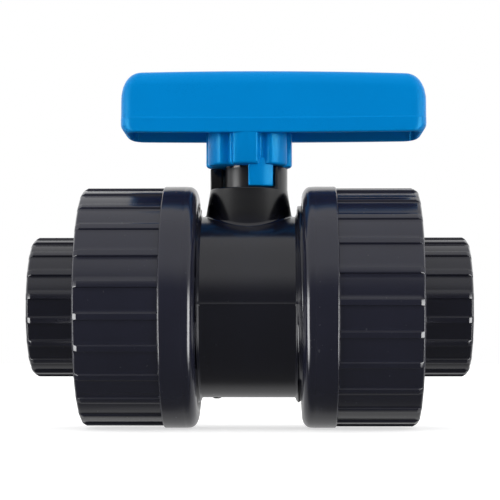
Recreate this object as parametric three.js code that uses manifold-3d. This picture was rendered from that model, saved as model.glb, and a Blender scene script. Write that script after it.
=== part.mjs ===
// Double-union ball valve in PVC-U for 32 mm solvent-weld pipe, millimetres.
// Origin: the ball's centre. +X runs along the pipe, +Z up the stem, -Y faces the front.
// It is drawn open, with the left union nut tight and the right one backed off a little.

import * as THREE from 'three';
import { mergeVertices } from 'three/addons/utils/BufferGeometryUtils.js';
import Module from 'manifold-3d';

const wasm = await Module();
wasm.setup();

// ---- driving dimensions ----

const turn = 2 * Math.PI;
const roundSegments = 28;
const gap = 0.3;

// Pipe run
const boreRadius = 12.5;
const pipeSocketRadius = 16.1;
const pipeSocketDepth = 22;

// Ball and body cavity
const ballRadius = 19.5;
const cavityRadius = 20.3;
const pocketClearance = 0.4;
const leftPocketEnd = 9.2;
const carrierPocketEnd = 21;
const bodyRadius = 27.3;
const bodyEnd = 39.7;
const shoulderStart = 13.8;
const shoulderEnd = 15.3;

// Union thread, right-handed on both ends
const threadPitch = 5;
const threadPhase = 1.8;
const threadRoot = 28.4;
const threadCrest = 30.6;
const threadStart = 14.5;
const threadClearance = 0.7;
const threadSegments = 24;

// Union nuts
const nutMouth = 15;
const nutLength = 34.9;
const nutRadius = 36.5;
const nutCollar = 10.4;
const nutRibs = 24;
const nutLipThickness = 3.8;
const nutLipRadius = 21.6;
const nutLandDepth = 1.1;
const nutRibDepth = 0.45;
const nutChamfer = 1.6;
const backedOff = 0.9;
const leftNutRibAngle = -6;
const rightNutRibAngle = 0.5;

// End connectors
const connectorFace = 40.4;
const connectorEnd = 65;
const connectorRadius = 21;
const connectorRibs = 18;
const connectorLandDepth = 0.7;
const connectorChamfer = 1.5;
const connectorRibAngle = 7.5;
const flangeRadius = 27.8;
const flangeThickness = 5.3;

// Seats and the screwed seat carrier
const seatInner = 13.2;
const seatOuter = 17.6;
const seatBack = 16.6;
const seatGrooveRadii = [13.8, 17];
const seatGrooveEnd = 19.8;
const carrierRadius = 22.6;
const carrierNose = 19.9;
const carrierTip = 10.2;
const carrierShoulder = 21.4;
const carrierGroove = [22, 25];
const keyNotchWidth = 8;
const keyNotchDepth = 2;
const keyNotchInner = 20.7;

// O-rings: [radius of the ring's middle, radius of its cord]
const stemORing = [5.9, 1.15];
const carrierORing = [21.4, 1.3];
const seatORing = [15.4, 1.3];
const faceORing = [19.05, 1.55];
const faceGrooveRadii = [17.2, 20.9];
const faceGrooveDepth = 2.7;

// Stem and neck
const shaftRadius = 7.1;
const neckBore = 7.5;
const neckRadius = 11.75;
const neckFlare = 12.9;
const neckFlareTop = 27.6;
const neckWaist = [30.5, 12.45];
const neckStraight = 35;
const stemFlangeRadius = 9.2;
const stemFlangeBottom = 21;
const stemFlangeTop = 23.6;
const stemGrooves = [26.4, 30.9];
const stemGrooveWidth = 2.9;
const stemGrooveFloor = 4.7;
const tangWidth = 6;
const tangLength = 14.4;
const tangBottom = 15.2;
const slotFloor = 35.5;
const postTop = 42.15;
const splineTeeth = 10;
const splineRoot = 6.1;
const splineClearance = 0.35;
const splineBottom = 42;
const splineTop = 55;

// Handle
const hubBottom = 42.4;
const hubRadius = 13.2;
const hubLobes = 7;
const hubTwist = -4.3;
const hubGroove = 11.9;
const hubCore = 10.4;
const handleRim = 51.6;
const handleTop = 70.4;
const handleLeft = -38.3;
const handleRight = 53.3;
const handleWidth = 26.4;
const handleWall = 2.4;
const handleCorner = 5;
const webLength = 87;
const webThickness = 2;
const webDepth = 11;
const stopInner = 8;
const stopOuter = 11.3;

// ---- helpers: shapes and booleans ----

const radians = (degrees) => degrees * Math.PI / 180;

// A closed geometry as a solid, with its faces turned outward.
function solid(geometry) {
  const bare = geometry.clone();
  for (const name of Object.keys(bare.attributes)) {
    if (name !== 'position') bare.deleteAttribute(name);
  }
  const merged = mergeVertices(bare, 1e-4);
  const points = merged.attributes.position;
  const corners = [0, 1, 2].map(() => new THREE.Vector3());
  const triangles = [];
  let volume = 0;
  for (let i = 0; i < merged.index.count; i += 3) {
    const [a, b, c] = [0, 1, 2].map((k) => merged.index.getX(i + k));
    if (a === b || b === c || c === a) continue;
    [a, b, c].forEach((n, k) => corners[k].fromBufferAttribute(points, n));
    volume += corners[0].dot(corners[1].clone().cross(corners[2]));
    triangles.push([a, b, c]);
  }
  const ordered = volume < 0 ? triangles.map(([a, b, c]) => [a, c, b]) : triangles;
  return new wasm.Manifold(new wasm.Mesh({
    numProp: 3,
    vertProperties: new Float32Array(points.array),
    triVerts: new Uint32Array(ordered.flat()),
  }));
}

function surface(manifold) {
  const mesh = manifold.getMesh();
  const geometry = new THREE.BufferGeometry();
  geometry.setAttribute('position', new THREE.BufferAttribute(new Float32Array(mesh.vertProperties), 3));
  geometry.setIndex(Array.from(mesh.triVerts));
  return geometry;
}

const join = (first, ...rest) => rest.reduce((sum, next) => sum.add(next), first);
const cut = (first, ...rest) => rest.reduce((left, tool) => left.subtract(tool), first);

// A profile of [along, radius] points turned about X or Z.
function turned(profile, axis = 'x', segments = roundSegments) {
  const points = profile.map(([along, radius]) => new THREE.Vector2(radius, along));
  const geometry = new THREE.LatheGeometry(points, segments);
  if (axis === 'x') geometry.rotateZ(-turn / 4);
  else geometry.rotateX(turn / 4);
  return solid(geometry);
}

// A plain disc or cylinder between two stations.
const rod = (from, to, radius, axis, segments) => turned(
  [[from, 0], [from, radius], [to, radius], [to, 0]], axis, segments);

// A ring of rectangular section.
const ring = (from, to, inner, outer, axis) => turned(
  [[from, inner], [from, outer], [to, outer], [to, inner], [from, inner]], axis);

function block(width, depth, bottom, top) {
  return solid(new THREE.BoxGeometry(width, depth, top - bottom).translate(0, 0, (top + bottom) / 2));
}

// An O-ring about X or Z.
function oRing(radius, thickness, along, axis) {
  const geometry = new THREE.TorusGeometry(radius, thickness, 6, 20);
  if (axis === 'x') geometry.rotateY(turn / 4);
  geometry.translate(axis === 'x' ? along : 0, 0, axis === 'z' ? along : 0);
  return solid(geometry);
}

// A solid lofted through closed loops that all have the same number of points.
function lofted(loops) {
  const count = loops[0].length;
  const positions = loops.flat().flatMap((point) => [point.x, point.y, point.z]);
  const ends = [loops[0], loops[loops.length - 1]];
  for (const loop of ends) {
    const middle = loop.reduce((sum, point) => sum.add(point), new THREE.Vector3()).divideScalar(count);
    positions.push(middle.x, middle.y, middle.z);
  }
  const firstMiddle = loops.length * count;
  const faces = [];
  for (let i = 0; i < count; i += 1) {
    const next = (i + 1) % count;
    for (let row = 0; row + 1 < loops.length; row += 1) {
      const here = row * count;
      const there = here + count;
      faces.push(here + i, there + i, there + next, here + i, there + next, here + next);
    }
    const last = firstMiddle - count;
    faces.push(firstMiddle, i, next, firstMiddle + 1, last + next, last + i);
  }
  const geometry = new THREE.BufferGeometry();
  geometry.setAttribute('position', new THREE.Float32BufferAttribute(positions, 3));
  geometry.setIndex(faces);
  return solid(geometry);
}

// A rod along X with raised ribs. Each row is [x, radius between ribs, radius on the ribs].
// Angles are measured from the front, turning upward.
function ribbedRod(rows, ribs, firstAngle, topDegrees, baseDegrees) {
  const steps = [[-baseDegrees / 2, 0], [-topDegrees / 2, 1], [topDegrees / 2, 1], [baseDegrees / 2, 0]];
  const loops = rows.map(([x, land, rib]) => {
    const loop = [];
    for (let n = 0; n < ribs; n += 1) {
      for (const [offset, onRib] of steps) {
        const angle = radians(firstAngle + n * 360 / ribs + offset);
        const radius = onRib ? rib : land;
        loop.push(new THREE.Vector3(x, -radius * Math.cos(angle), radius * Math.sin(angle)));
      }
    }
    return loop;
  });
  return lofted(loops);
}

// A rod along X between two stations that carries a right-handed helical ridge.
function threadedRod(from, to, root, crest) {
  const section = [[0, root], [0.35, crest], [0.55, crest]];
  const firstTurn = Math.floor((from - threadPhase) / threadPitch) - 1;
  const lastTurn = Math.ceil((to - threadPhase) / threadPitch) + 1;
  const rows = [];
  for (let n = firstTurn; n < lastTurn; n += 1) {
    for (const [part, radius] of section) rows.push([(n + part) * threadPitch + threadPhase, radius]);
  }
  const positions = [];
  const addPoint = (row, step) => {
    const [start, radius] = rows[row];
    const angle = turn * step / threadSegments;
    const x = start + threadPitch * step / threadSegments;
    const inside = x > from && x < to;
    const reach = inside ? radius : root;
    const wrapped = turn * (step % threadSegments) / threadSegments;
    const y = reach * Math.cos(inside ? angle : wrapped);
    positions.push(Math.min(Math.max(x, from), to), y, reach * Math.sin(angle));
  };
  for (let row = 0; row < rows.length; row += 1) {
    for (let step = 0; step <= threadSegments; step += 1) addPoint(row, step);
  }
  const stride = threadSegments + 1;
  const faces = [];
  for (let row = 0; row + 1 < rows.length; row += 1) {
    for (let step = 0; step < threadSegments; step += 1) {
      const a = row * stride + step;
      const b = a + stride;
      faces.push(a, b, b + 1, a, b + 1, a + 1);
    }
  }
  const centre = positions.length / 3;
  positions.push(from, 0, 0, to, 0, 0);
  const lastRow = (rows.length - 1) * stride;
  for (let step = 0; step < threadSegments; step += 1) {
    faces.push(centre, step, step + 1, centre + 1, lastRow + step + 1, lastRow + step);
  }
  const geometry = new THREE.BufferGeometry();
  geometry.setAttribute('position', new THREE.Float32BufferAttribute(positions, 3));
  geometry.setIndex(faces);
  return solid(geometry);
}

// A part of a ring about Z. Angles are measured from the front, turning toward +X.
function sector(inner, outer, fromDegrees, toDegrees, bottom, top) {
  const from = radians(fromDegrees - 90);
  const to = radians(toDegrees - 90);
  const shape = new THREE.Shape();
  shape.absarc(0, 0, outer, from, to, false);
  shape.absarc(0, 0, inner, to, from, true);
  const geometry = new THREE.ExtrudeGeometry(shape, {
    depth: top - bottom,
    bevelEnabled: false,
    curveSegments: 5,
  });
  return solid(geometry.translate(0, 0, bottom));
}

// The same piece repeated on the opposite side of the Z axis.
const bothSides = (piece) => piece.add(piece.rotate([0, 0, 180]));

// ---- body ----

// Open-position edge of the stop tabs, their width, and the swing from open to closed.
const stopEdge = 42;
const stopWidth = 42;
const stopSwing = 90;
const postFrom = stopEdge + 3;
const postTo = stopEdge - stopWidth - stopSwing - 2 + 180;

function makeBody() {
  const neckBottom = 18;
  const barrel = turned([
    [-shoulderEnd, 0], [-shoulderEnd, threadRoot], [-shoulderStart, bodyRadius],
    [shoulderStart, bodyRadius], [shoulderEnd, threadRoot], [shoulderEnd, 0],
  ]);
  const thread = threadedRod(threadStart, bodyEnd, threadRoot, threadCrest);
  const neck = turned([
    [neckBottom, 0], [neckBottom, neckFlare], [neckFlareTop, neckFlare], neckWaist,
    [neckStraight, neckRadius], [slotFloor, neckRadius], [slotFloor, 0],
  ], 'z');
  const posts = bothSides(sector(stopInner, neckRadius, postFrom, postTo, slotFloor - 0.5, postTop));
  const seatPocket = seatOuter + pocketClearance;
  const carrierPocket = carrierRadius + pocketClearance;
  const cavity = turned([
    [-bodyEnd - 1, 0], [-bodyEnd - 1, boreRadius], [-seatBack - gap, boreRadius],
    [-seatBack - gap, seatPocket], [-leftPocketEnd, seatPocket], [-leftPocketEnd, cavityRadius],
    [carrierPocketEnd, cavityRadius], [carrierPocketEnd, carrierPocket],
    [bodyEnd + 1, carrierPocket], [bodyEnd + 1, 0],
  ]);
  const seatORingGroove = ring(-seatGrooveEnd, -seatBack, ...seatGrooveRadii);
  const stemBore = rod(0, slotFloor + 1, neckBore, 'z');
  const flangeRecess = rod(0, stemFlangeTop + pocketClearance, stemFlangeRadius + pocketClearance, 'z');
  return cut(
    join(barrel, thread, thread.rotate([0, 0, 180]), neck, posts),
    cavity, seatORingGroove, stemBore, flangeRecess);
}

// ---- ball, seats and carrier ----

function makeBall() {
  const profile = [];
  const steps = 14;
  for (let n = 0; n <= steps; n += 1) {
    const angle = Math.PI * n / steps;
    profile.push([-ballRadius * Math.cos(angle), ballRadius * Math.sin(angle)]);
  }
  const bore = rod(-ballRadius, ballRadius, boreRadius);
  const stemSlot = block(tangWidth + 2 * gap, 2 * ballRadius, tangBottom - gap, ballRadius + 1);
  return cut(turned(profile), bore, stemSlot);
}

// The seat's ball side is a zone of a sphere that clears the ball by the gap.
function makeSeat() {
  const zone = (radius) => Math.sqrt((ballRadius + gap) ** 2 - radius ** 2);
  const front = [seatInner, (seatInner + seatOuter) / 2, seatOuter].map((radius) => [zone(radius), radius]);
  return turned([...front, [seatBack, seatOuter], [seatBack, seatInner], front[0]]);
}

function makeCarrier() {
  const seatPocket = seatOuter + pocketClearance;
  const [grooveStart, grooveEnd] = carrierGroove;
  const bulk = turned([
    [carrierTip, seatPocket], [carrierTip, carrierNose], [carrierShoulder, carrierNose],
    [carrierShoulder, carrierRadius], [grooveStart, carrierRadius], [grooveStart, carrierNose],
    [grooveEnd, carrierNose], [grooveEnd, carrierRadius], [bodyEnd, carrierRadius],
    [bodyEnd, boreRadius], [seatBack + gap, boreRadius], [seatBack + gap, seatPocket],
    [carrierTip, seatPocket],
  ]);
  const seatORingGroove = ring(seatBack, seatGrooveEnd, ...seatGrooveRadii);
  // Two notches across the outer face take the lugs of the assembly key.
  const notchBox = new THREE.BoxGeometry(2 * keyNotchDepth, keyNotchWidth, 3 * carrierRadius);
  const keyNotches = solid(notchBox.translate(bodyEnd, 0, 0));
  const keepRing = rod(bodyEnd - 2 * keyNotchDepth, bodyEnd + 1, keyNotchInner);
  return cut(bulk, seatORingGroove, keyNotches.subtract(keepRing));
}

// ---- stem and handle ----

// Outline of the drive splines, grown by a clearance for the socket.
function splineShape(clearance) {
  const pitchDegrees = 360 / splineTeeth;
  const firstTooth = 6;
  const flankDegrees = 3;
  const halfTooth = 10 + clearance * 8;
  const outline = [];
  for (let n = 0; n < splineTeeth; n += 1) {
    const middle = firstTooth + n * pitchDegrees;
    const corners = [
      [splineRoot, -halfTooth - flankDegrees], [shaftRadius, -halfTooth],
      [shaftRadius, halfTooth], [splineRoot, halfTooth + flankDegrees],
    ];
    for (const [radius, offset] of corners) {
      const angle = radians(middle + offset - 90);
      const grown = radius + clearance;
      outline.push(new THREE.Vector2(grown * Math.cos(angle), grown * Math.sin(angle)));
    }
  }
  return new THREE.Shape(outline);
}

function extruded(shape, bottom, top) {
  const geometry = new THREE.ExtrudeGeometry(shape, { depth: top - bottom, bevelEnabled: false });
  return solid(geometry.translate(0, 0, bottom));
}

function makeStem() {
  const profile = [
    [stemFlangeBottom, 0], [stemFlangeBottom, stemFlangeRadius],
    [stemFlangeTop, stemFlangeRadius], [stemFlangeTop, shaftRadius],
  ];
  for (const middle of stemGrooves) {
    const low = middle - stemGrooveWidth / 2;
    const high = middle + stemGrooveWidth / 2;
    profile.push([low, shaftRadius], [low, stemGrooveFloor], [high, stemGrooveFloor], [high, shaftRadius]);
  }
  profile.push([splineBottom + 0.2, shaftRadius], [splineBottom + 0.2, 0]);
  const tang = block(tangWidth, tangLength, tangBottom, stemFlangeBottom + 0.5);
  return join(turned(profile, 'z'), tang, extruded(splineShape(0), splineBottom, splineTop));
}

// A closed loop at one height: a rectangle with rounded corners, pulled in all round by inset.
function handleLoop(height, inset) {
  const cornerSteps = 4;
  const radius = Math.max(handleCorner - inset, 1);
  const low = new THREE.Vector2(handleLeft + inset, -handleWidth / 2 + inset);
  const high = new THREE.Vector2(handleRight - inset, handleWidth / 2 - inset);
  const centres = [
    [high.x - radius, high.y - radius, 0], [low.x + radius, high.y - radius, 1],
    [low.x + radius, low.y + radius, 2], [high.x - radius, low.y + radius, 3],
  ];
  const loop = [];
  for (const [x, y, quarter] of centres) {
    for (let step = 0; step <= cornerSteps; step += 1) {
      const angle = (quarter + step / cornerSteps) * turn / 4;
      loop.push(new THREE.Vector3(x + radius * Math.cos(angle), y + radius * Math.sin(angle), height));
    }
  }
  return loop;
}

function hubShape() {
  const outline = [];
  const lobe = 360 / hubLobes;
  // Radius across one lobe, from the groove on one side to the groove on the other.
  const edge = (hubGroove + 2 * hubRadius) / 3;
  const across = [
    [-lobe / 2, hubGroove], [-lobe * 0.42, edge], [-lobe * 0.34, hubRadius], [-lobe * 0.17, hubRadius],
    [0, hubRadius], [lobe * 0.17, hubRadius], [lobe * 0.34, hubRadius], [lobe * 0.42, edge],
  ];
  for (let n = 0; n < hubLobes; n += 1) {
    for (const [offset, radius] of across) {
      const angle = radians(n * lobe + hubTwist + offset - 90);
      outline.push(new THREE.Vector2(radius * Math.cos(angle), radius * Math.sin(angle)));
    }
  }
  return new THREE.Shape(outline);
}

function makeHandle() {
  const outside = lofted([
    handleLoop(handleRim, 0.9), handleLoop(handleRim + 2, 0), handleLoop(handleRim + 4.6, 0),
    handleLoop(handleTop - 4.6, 0.8), handleLoop(handleTop - 1.4, 2.1), handleLoop(handleTop, 5.2),
  ]);
  const inside = lofted([
    handleLoop(handleRim - 1, handleWall), handleLoop(handleRim + 4.6, handleWall),
    handleLoop(handleTop - 2.8, handleWall + 1.4),
  ]);
  const hub = join(
    extruded(hubShape(), hubBottom, handleRim + 4), rod(hubBottom + 1, handleTop - 2, hubCore, 'z'));
  const webMiddle = new THREE.Vector3((handleLeft + handleRight) / 2, 0, handleTop - 2 - webDepth / 2);
  const web = solid(new THREE.BoxGeometry(webLength, webThickness, webDepth).translate(...webMiddle));
  const stops = bothSides(
    sector(stopInner, stopOuter, stopEdge - stopWidth, stopEdge, slotFloor + 0.4, hubBottom + 1));
  const socket = extruded(splineShape(splineClearance), hubBottom - 1, splineTop + 0.6);
  return cut(join(outside.subtract(inside), hub, web, stops), socket);
}

// ---- union nut and end connector, drawn for the right end with the union tight ----

function makeNut(firstRib) {
  const outerEnd = nutMouth + nutLength;
  const collarEnd = nutMouth + nutCollar;
  const land = nutRadius - nutLandDepth;
  const rib = nutRadius - nutRibDepth;
  const outside = ribbedRod([
    [nutMouth, nutRadius - 3.1, nutRadius - 3.1], [nutMouth + 2, nutRadius, nutRadius],
    [collarEnd, nutRadius, nutRadius], [collarEnd + 0.1, land, rib],
    [outerEnd - nutChamfer, land, rib], [outerEnd, land - 1.2, rib - 1.5],
  ], nutRibs, firstRib, 2.9, 4);
  const threadWall = threadCrest + threadClearance;
  const threads = threadedRod(nutMouth - 1, connectorFace, threadRoot + threadClearance, threadWall);
  const countersink = turned([
    [nutMouth - 1, 0], [nutMouth - 1, threadWall + 0.8], [nutMouth, threadWall + 0.3],
    [nutMouth + 1.2, threadWall - 0.5], [nutMouth + 1.2, 0],
  ]);
  const flangeRoom = rod(connectorFace - 0.5, outerEnd - nutLipThickness, threadRoot + threadClearance);
  const lipBore = rod(outerEnd - nutLipThickness - 1, outerEnd + 1, nutLipRadius);
  return cut(outside, threads, countersink, flangeRoom, lipBore);
}

function makeConnector(firstRib) {
  const flangeBack = connectorFace + flangeThickness;
  const land = connectorRadius - connectorLandDepth;
  const outside = ribbedRod([
    [connectorFace, flangeRadius, flangeRadius], [flangeBack, flangeRadius, flangeRadius],
    [flangeBack, land, connectorRadius], [connectorEnd - connectorChamfer, land, connectorRadius],
    [connectorEnd, land - 1.3, connectorRadius - 1.7],
  ], connectorRibs, firstRib, 4.6, 6.4);
  const flow = turned([
    [connectorFace - 1, 0], [connectorFace - 1, boreRadius],
    [connectorEnd - pipeSocketDepth, boreRadius], [connectorEnd - pipeSocketDepth, pipeSocketRadius],
    [connectorEnd - 1, pipeSocketRadius], [connectorEnd + 0.5, pipeSocketRadius + 1.2],
    [connectorEnd + 0.5, 0],
  ]);
  const faceGroove = ring(connectorFace - 1, connectorFace + faceGrooveDepth, ...faceGrooveRadii);
  return cut(outside, flow, faceGroove);
}

const makeFaceORing = () => oRing(...faceORing, connectorFace + 1.1, 'x');
const makeSeatORing = () => oRing(...seatORing, seatBack + 1.7, 'x');

// ---- materials ----

const anthracite = () => new THREE.MeshStandardMaterial({ color: 0x2a2b32, roughness: 0.34, metalness: 0 });
const blue = () => new THREE.MeshStandardMaterial({ color: 0x0284d0, roughness: 0.32, metalness: 0 });
const ptfe = () => new THREE.MeshStandardMaterial({ color: 0xf1f1ec, roughness: 0.5, metalness: 0 });
const rubber = () => new THREE.MeshStandardMaterial({ color: 0x161617, roughness: 0.75, metalness: 0 });

// ---- assembly ----

const valve = new THREE.Group();

function place(name, manifold, material, group = valve) {
  const mesh = new THREE.Mesh(surface(manifold), material);
  mesh.name = name;
  group.add(mesh);
}

place('valve_body', makeBody(), anthracite());
place('ball', makeBall(), anthracite());
place('stem', makeStem(), anthracite());
place('stem_o_ring_lower', oRing(...stemORing, stemGrooves[0], 'z'), rubber());
place('stem_o_ring_upper', oRing(...stemORing, stemGrooves[1], 'z'), rubber());
place('seat_carrier', makeCarrier(), anthracite());
place('carrier_o_ring', oRing(...carrierORing, (carrierGroove[0] + carrierGroove[1]) / 2, 'x'), rubber());
place('handle', makeHandle(), blue());

// An angle up from the front, as it is in the frame of the end that is turned about Z.
const angleAtEnd = (side, angle) => (side === 'left' ? 180 - angle : angle);

// Each end holds the same set of pieces. The left end is the right one turned about Z.
function addEnd(side, ribAngle, travel) {
  const end = new THREE.Group();
  if (side === 'left') end.rotation.z = turn / 2;
  valve.add(end);
  place(`ball_seat_${side}`, makeSeat(), ptfe(), end);
  place(`seat_o_ring_${side}`, makeSeatORing(), rubber(), end);

  const union = new THREE.Group();
  union.position.x = travel;
  end.add(union);
  place(`end_connector_${side}`, makeConnector(angleAtEnd(side, connectorRibAngle)), anthracite(), union);
  place(`face_o_ring_${side}`, makeFaceORing(), rubber(), union);

  // Backing off turns the nut as the thread does.
  const screwed = new THREE.Group();
  const screwDegrees = 360 * travel / threadPitch;
  screwed.rotation.x = radians(screwDegrees);
  union.add(screwed);
  place(`union_nut_${side}`, makeNut(angleAtEnd(side, ribAngle) + screwDegrees), anthracite(), screwed);
}

addEnd('left', leftNutRibAngle, 0);
addEnd('right', rightNutRibAngle, backedOff);

export default valve;
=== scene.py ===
"""Looks of a double-union PVC ball valve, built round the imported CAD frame.

Shapes are drawn in millimetres, in the frame's axes: the ball's centre is the origin, +X runs
along the pipe, +Z up the stem and -Y faces the camera.
"""

from math import acos, atan2, cos, floor, pi, radians, sin, sqrt, tan

import bmesh
import bpy
from mathutils import Matrix, Vector


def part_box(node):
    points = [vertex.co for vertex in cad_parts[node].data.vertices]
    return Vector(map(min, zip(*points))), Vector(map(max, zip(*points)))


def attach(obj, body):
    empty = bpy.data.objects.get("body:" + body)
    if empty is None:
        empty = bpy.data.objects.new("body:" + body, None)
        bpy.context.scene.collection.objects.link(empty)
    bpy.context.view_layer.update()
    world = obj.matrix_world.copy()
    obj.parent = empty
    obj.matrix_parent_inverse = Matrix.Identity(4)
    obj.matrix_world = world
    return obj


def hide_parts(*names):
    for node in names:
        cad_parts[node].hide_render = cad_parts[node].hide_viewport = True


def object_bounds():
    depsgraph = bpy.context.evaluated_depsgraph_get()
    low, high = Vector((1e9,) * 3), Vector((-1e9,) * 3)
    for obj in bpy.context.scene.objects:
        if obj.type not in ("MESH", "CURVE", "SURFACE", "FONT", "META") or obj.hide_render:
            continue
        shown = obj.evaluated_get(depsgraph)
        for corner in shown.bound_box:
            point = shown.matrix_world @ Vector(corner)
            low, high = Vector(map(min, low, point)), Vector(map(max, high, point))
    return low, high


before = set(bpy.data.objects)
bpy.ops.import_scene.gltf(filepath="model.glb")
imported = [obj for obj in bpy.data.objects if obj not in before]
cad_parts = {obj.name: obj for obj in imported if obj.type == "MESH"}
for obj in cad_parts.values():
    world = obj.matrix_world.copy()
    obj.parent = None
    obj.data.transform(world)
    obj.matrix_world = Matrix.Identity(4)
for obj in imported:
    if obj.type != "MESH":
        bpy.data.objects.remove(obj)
cad_low, cad_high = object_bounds()

MM = 0.001
TURN = 2 * pi


def box_mm(node):
    """Lowest and highest corner of a CAD node, in millimetres."""
    low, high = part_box(node)
    return low / MM, high / MM


# ---- driving dimensions, in millimetres unless they say otherwise ----

SMOOTH_ANGLE = 38

_, BODY_HIGH = box_mm("valve_body")
NUT_LOW, NUT_HIGH = box_mm("union_nut_left")
NUT_RIGHT_LOW, _ = box_mm("union_nut_right")
END_LOW, END_HIGH = box_mm("end_connector_left")
HANDLE_LOW, HANDLE_HIGH = box_mm("handle")
STEM_LOW, STEM_HIGH = box_mm("stem")
_, SEAT_HIGH = box_mm("ball_seat_right")
_, CARRIER_HIGH = box_mm("seat_carrier")

# Columns round a turned piece: small, medium, large and splined ones
SMALL = 24
MEDIUM = 96
LARGE = 128
SPLINED = 240

# Pipe run
BORE = 12.5
BORE_CHAMFER = 0.5
SOCKET = 16.1
SOCKET_DEPTH = 22

# Ball and its seats
BALL = 19.5
BALL_EDGE = 0.9
BALL_SLOT_WIDTH = 6.6
BALL_SLOT_FLOOR = 14.9
SEAT_GAP = 0.3
SEAT_OUTER = SEAT_HIGH.y
SEAT_INNER = 13.2
SEAT_BACK = SEAT_HIGH.x
SEAT_FLOOR = SEAT_BACK + 0.3
SEAT_GROOVE_INNER = 13.8
SEAT_GROOVE_OUTER = 17
SEAT_GROOVE_END = 19.8

# Body
BODY_END = BODY_HIGH.x
BODY_CHAMFER = 0.6
BARREL = 27.3
BARREL_COLUMNS = 160
CAVITY = 20.3
SHOULDER_START = 13.8
SHOULDER_LENGTH = 0.66
FIT = 0.4
LEFT_POCKET_END = 9.2
PARTING_HEIGHT = 0.07
PARTING_HALF_WIDTH = 0.2
PARTING_EASE = 0.3
GATE_X = -9.6

# Seat carrier
CARRIER_RADIUS = CARRIER_HIGH.y
CARRIER_POCKET_END = 21
CARRIER_START = 10.2
CARRIER_NOSE = 19.9
CARRIER_COLLAR_START = 21.4
CARRIER_GROOVE_START = 22
CARRIER_GROOVE_END = 25
CARRIER_NOTCH = (4, 8, 6)
CARRIER_NOTCH_FLOOR = 20.7

# Union thread, right-handed on both ends
PITCH = 5
PHASE = 1.8
ROOT = 28.4
CREST = BODY_HIGH.y
THREAD_START = 14.5
THREAD_CLEARANCE = 0.7

# One pitch of the thread: (share of the pitch, share of the depth), with its edges eased.
THREAD_SECTION = [
    (0.0, 0.0), (0.05, 0.08), (0.1, 0.24), (0.27, 0.8), (0.33, 0.96), (0.4, 1.0),
    (0.5, 1.0), (0.57, 0.96), (0.65, 0.8), (0.9, 0.22), (0.96, 0.06),
]

# Union nuts. The left one is tight, and the right one is backed off.
NUT_MOUTH = -NUT_HIGH.x
NUT_END = -NUT_LOW.x
NUT_RADIUS = NUT_HIGH.z
NUT_LAND = NUT_RADIUS - 1.1
NUT_RIB = NUT_RADIUS - 0.45
NUT_RIBS = 24
NUT_RIB_HALF_WIDTH = 1.0
NUT_FACE = NUT_MOUTH + 0.12
NUT_FACE_ROUND = 2.55
NUT_FACE_DROP = 3.4
NUT_LINE = NUT_MOUTH + 3.75
NUT_COLLAR_END = NUT_MOUTH + 10.4
NUT_COLLAR_EDGE = 0.6
NUT_MOUTH_RADIUS = 31.6
NUT_COUNTERSINK_SLOPE = 0.66
NUT_LIP = 3.8
NUT_LIP_RADIUS = 21.6
BACKED_OFF = NUT_RIGHT_LOW.x - NUT_MOUTH
RIB_ANGLE = {"left": -6, "right": 0.5}

# End connectors
FACE = -END_HIGH.x
END = -END_LOW.x
END_RADIUS = 21
END_LAND = END_RADIUS - 0.7
END_RIBS = 18
END_RIB_ANGLE = 7.5
END_RIB_HALF_WIDTH = 0.95
FLANGE = END_HIGH.z
FLANGE_THICKNESS = 5.3
FACE_GROOVE_INNER = 17.2
FACE_GROOVE_OUTER = 20.9
FACE_GROOVE_DEPTH = 2.7

# O-rings: radius of the ring, radius of the cord and place along the axis
STEM_SEALS = {"lower": (5.9, 1.15, 26.4), "upper": (5.9, 1.15, 30.9)}
CARRIER_SEAL = (21.4, 1.3, 23.5)
SEAT_SEAL = (15.4, 1.3, SEAT_BACK + 1.7)
FACE_SEAL = (19.05, 1.55, FACE + 1.1)
SEAL_SIDES = 20
SEAL_COLUMNS = 112

# Stem
SHAFT = 7.1
SHAFT_BORE = 7.5
STEM_FLANGE = 9.2
STEM_FLANGE_BOTTOM = 21
STEM_FLANGE_TOP = 23.6
STEM_CHAMFER = 0.3
STEM_RECESS = 9.6
STEM_RECESS_TOP = 24
STEM_GROOVE = 4.7
STEM_GROOVE_HALF_WIDTH = 1.45
TANG_THICKNESS = 6
TANG_WIDTH = 14.4
TANG_TOP = 21.5
SPLINE_BOTTOM = 42
SPLINE_TOP = STEM_HIGH.z
SPLINE_ROOT = 6.1
SPLINE_TEETH = 10
SPLINE_TWIST = 6
SPLINE_HALF_WIDTH = 10
SPLINE_EASE = 3
SPLINE_FIT = 0.35

# Neck and its stop posts; the angles are in degrees
NECK = 11.75
NECK_FOOT = 12.9
NECK_TAPER = 0.16
NECK_FILLET = 1.0
NECK_BURIED_RADIUS = 14.9
NECK_BURIED_Z = 19
SLOT_FLOOR = 35.5
POST_TOP = BODY_HIGH.z
POST_GAP = 3
POST_WIDTH = 43
POST_BEVEL = 0.5

# Handle
RIM = 51.6
TOP = HANDLE_HIGH.z
BREAK = RIM + 4.4
BREAK_STEP = 0.14
WALL = 2.1
CEILING = TOP - 2.6
CEILING_ROUND = 2.2
CORNER = 4.6
INNER_CORNER = 4
CORNER_SHRINK = 0.6
CORNER_LEAST = 0.8
CORNER_STEPS = 10
SIDE_STEPS = 12
CROWN = 0.00033
BOW = 0.00013
CROWN_HEIGHT = TOP - RIM - 8
DRAFT = tan(radians(4))
END_INSET = 0.05
END_ROUND = 5
END_ROUND_HEIGHT = 8
SIDE_ROUND = 2.6
RIM_END_FILLET = 2.7
RIM_SIDE_FILLET = 0.4
WEB_LENGTH = 86
WEB_THICKNESS = 2
WEB_HEIGHT = 11
WEB_DROP = 7.5

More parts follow.
